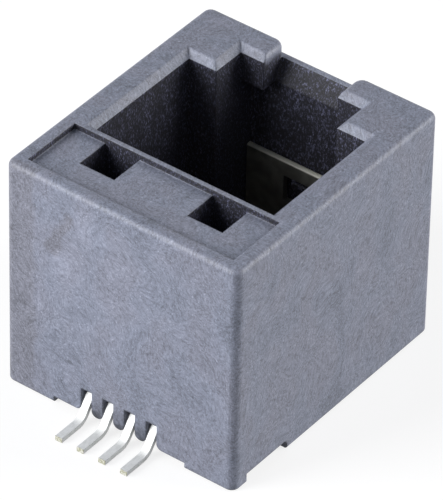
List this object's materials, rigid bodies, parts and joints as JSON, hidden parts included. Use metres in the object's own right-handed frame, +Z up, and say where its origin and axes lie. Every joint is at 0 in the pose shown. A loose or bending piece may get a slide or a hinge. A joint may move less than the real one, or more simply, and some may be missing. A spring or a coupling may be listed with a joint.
{
  "type": "modular jack",
  "caption": "Vertical surface-mount modular jack: square moulded housing with a plug opening in the top, a latch slot with two catches, and gull-wing solder tails at its foot.",
  "frame": {"origin": "on the board, under the centre of the jack's bounding box, which runs from the tips of the solder tails to the back face", "axes": "+Z up out of the plug opening, -Y towards the tips of the solder tails, X across the plug"},
  "size_m": [0.0134, 0.0174, 0.013],
  "materials": {
    "housing_plastic": "moulded glass-filled plastic, dark blue-grey, satin with flow marks",
    "insert_plastic": "moulded plastic, smooth and dark",
    "contact_metal": "formed bronze strip, matt tin plating on the solder tail, gold plating on the spring"
  },
  "bodies": {
    "root": {"housing": "housing_plastic", "contact_insert": "insert_plastic", "contact_1": "contact_metal", "contact_2": "contact_metal", "contact_3": "contact_metal", "contact_4": "contact_metal"}
  },
  "joints": []
}
